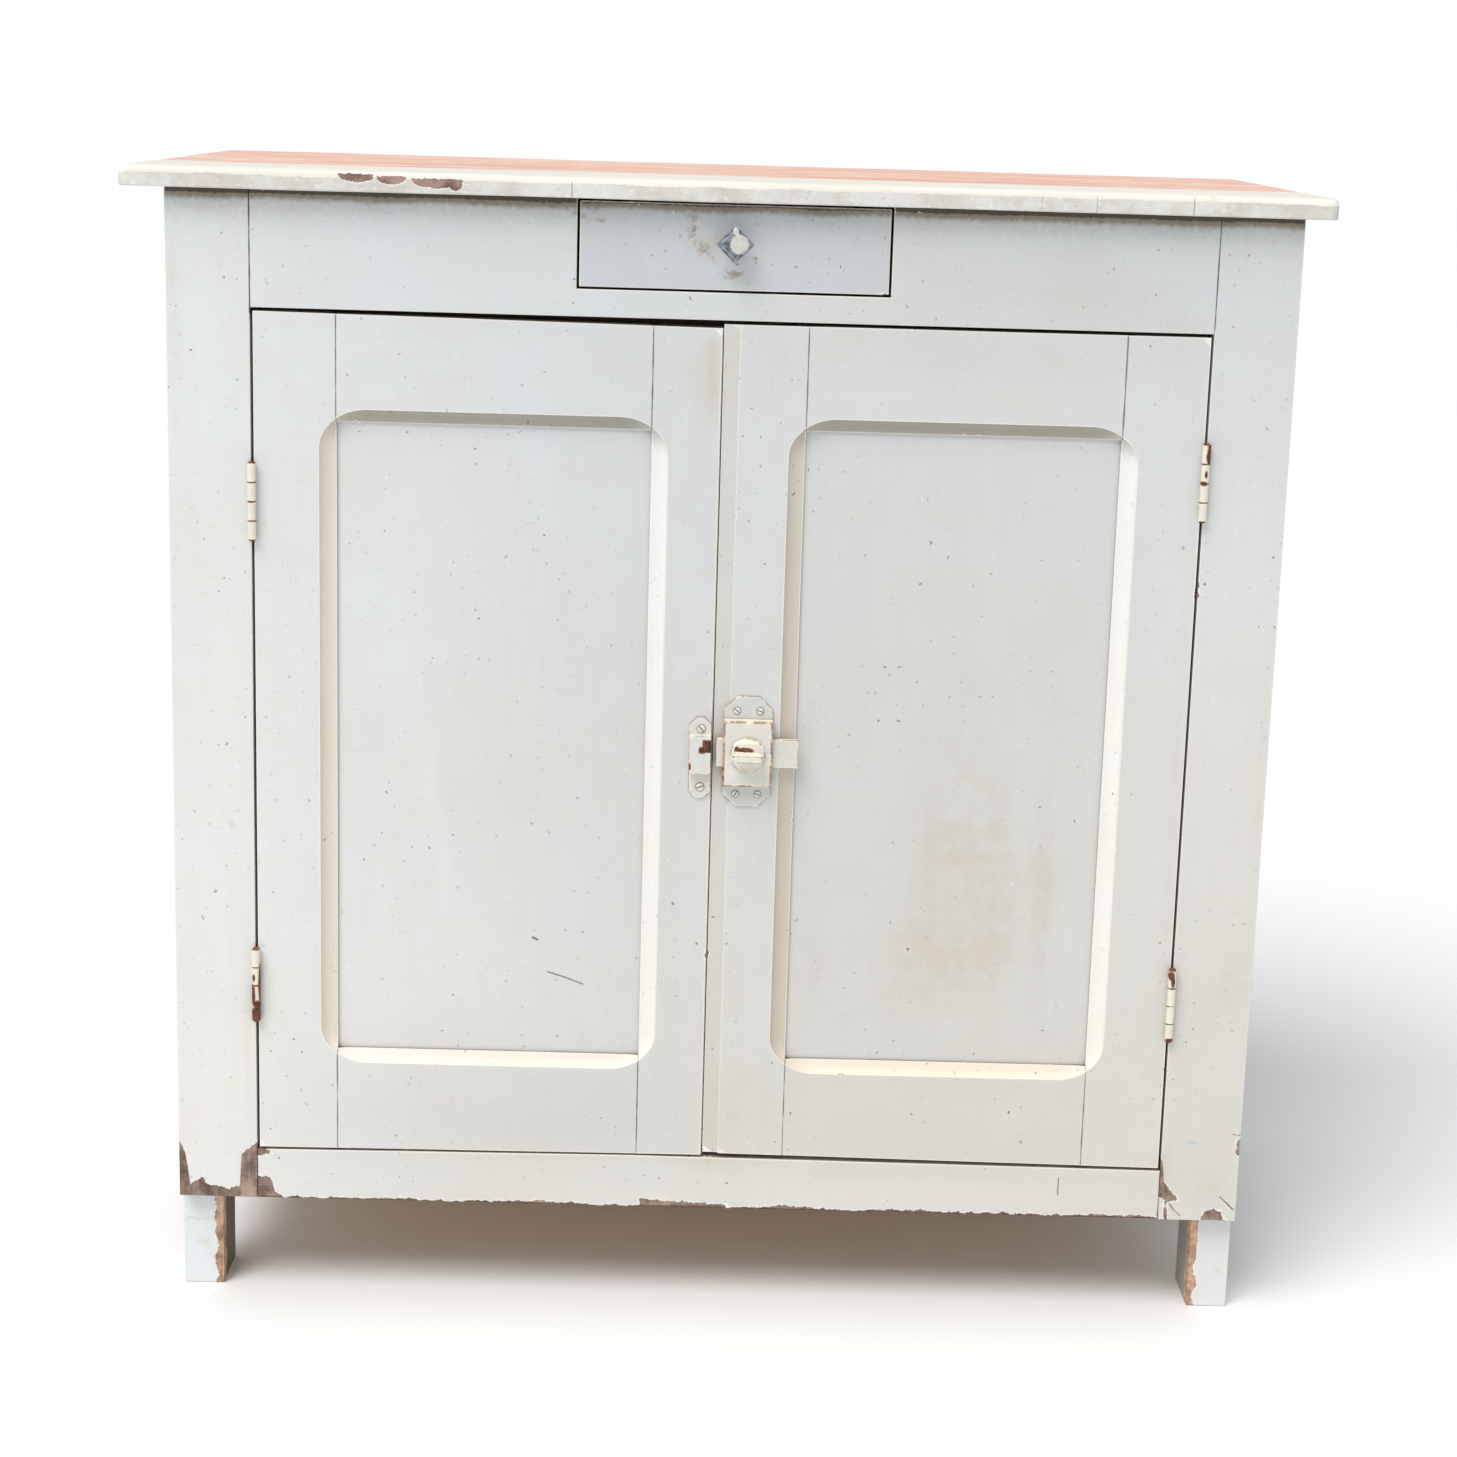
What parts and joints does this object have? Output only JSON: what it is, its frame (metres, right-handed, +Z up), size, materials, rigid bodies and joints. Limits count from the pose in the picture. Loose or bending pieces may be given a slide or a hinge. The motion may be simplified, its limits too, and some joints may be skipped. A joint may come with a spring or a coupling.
{
  "type": "pantry cabinet",
  "caption": "Painted pine pantry cabinet with an overhanging top, a small drawer, a pair of panelled doors on butt hinges, a turn-knob latch, an inner shelf and square legs.",
  "frame": {"origin": "centre of the footprint box, on the floor", "axes": "+Z up; the front with the doors and the drawer faces -Y; +X to the right as seen from the front"},
  "size_m": [1.106, 0.5132, 1.1],
  "materials": {
    "grey_paint": "aged pale grey satin oil paint, chipped to brown at the lower edges",
    "top_paint": "worn salmon pink paint with a cream white front edge",
    "bare_pine": "bare pine, unfinished",
    "aged_pine": "dark aged pine, unfinished",
    "painted_iron": "pale paint over iron, flaking to rust at the edges",
    "rusty_steel": "rusty steel",
    "zinc": "dull blue-grey metal with a flake of cream paint"
  },
  "bodies": {
    "case": {"top_board": "top_paint", "face_stile_left": "grey_paint", "face_stile_right": "grey_paint", "apron_rail": "grey_paint", "bottom_rail": "grey_paint", "front_post_left": "grey_paint", "rear_post_left": "grey_paint", "side_rail_upper_left": "grey_paint", "side_rail_lower_left": "grey_paint", "side_panel_left": "grey_paint", "front_post_right": "grey_paint", "rear_post_right": "grey_paint", "side_rail_upper_right": "grey_paint", "side_rail_lower_right": "grey_paint", "side_panel_right": "grey_paint", "back_rail_upper": "aged_pine", "back_rail_lower": "aged_pine", "back_board_1": "aged_pine", "back_board_2": "aged_pine", "back_board_3": "aged_pine", "floor_board": "bare_pine", "shelf": "bare_pine", "shelf_cleat_left": "bare_pine", "shelf_cleat_right": "bare_pine", "drawer_bearer": "bare_pine", "drawer_runner_left": "bare_pine", "drawer_runner_right": "bare_pine", "hinge_left_upper_frame_leaf": "painted_iron", "hinge_left_lower_frame_leaf": "painted_iron", "hinge_right_upper_frame_leaf": "painted_iron", "hinge_right_lower_frame_leaf": "painted_iron", "hinge_left_upper_pin": "rusty_steel", "hinge_left_lower_pin": "rusty_steel", "hinge_right_upper_pin": "rusty_steel", "hinge_right_lower_pin": "rusty_steel"},
    "drawer": {"drawer_front": "grey_paint", "drawer_side_left": "bare_pine", "drawer_side_right": "bare_pine", "drawer_back": "bare_pine", "drawer_bottom": "bare_pine", "drawer_knob": "zinc"},
    "left_door": {"left_door_hinge_stile": "grey_paint", "left_door_lock_stile": "grey_paint", "left_door_top_rail": "grey_paint", "left_door_bottom_rail": "grey_paint", "left_door_panel": "grey_paint", "hinge_left_upper_door_leaf": "painted_iron", "hinge_left_lower_door_leaf": "painted_iron", "keeper": "painted_iron"},
    "right_door": {"right_door_hinge_stile": "grey_paint", "right_door_lock_stile": "grey_paint", "right_door_top_rail": "grey_paint", "right_door_bottom_rail": "grey_paint", "right_door_panel": "grey_paint", "hinge_right_upper_door_leaf": "painted_iron", "hinge_right_lower_door_leaf": "painted_iron", "latch_plate": "painted_iron", "latch_case": "painted_iron"},
    "latch_knob": {"latch_knob": "painted_iron"},
    "latch_bolt": {"latch_bolt": "painted_iron"}
  },
  "joints": [
    {"name": "left_door_hinge", "type": "hinge", "parent": "case", "child": "left_door", "pos_m": [-0.43575, -0.22887, 0.56], "axis": [0, 0, -1], "range_deg": [0, 170]},
    {"name": "right_door_hinge", "type": "hinge", "parent": "case", "child": "right_door", "pos_m": [0.44775, -0.22887, 0.56], "axis": [0, 0, 1], "range_deg": [0, 170]},
    {"name": "drawer_slide", "type": "slide", "parent": "case", "child": "drawer", "axis": [0, -1, 0], "range_m": [0, 0.3]},
    {"name": "latch_turn", "type": "hinge", "parent": "right_door", "child": "latch_knob", "pos_m": [0.031, -0.23, 0.5655], "axis": [0, -1, 0], "range_deg": [0, 90]},
    {"name": "bolt_slide", "type": "slide", "parent": "right_door", "child": "latch_bolt", "axis": [-1, 0, 0], "range_m": [0, 0.019]}
  ],
  "couplings": [
    {"joint": "bolt_slide", "follows": "latch_turn", "m_per_rad": 0.01209}
  ]
}
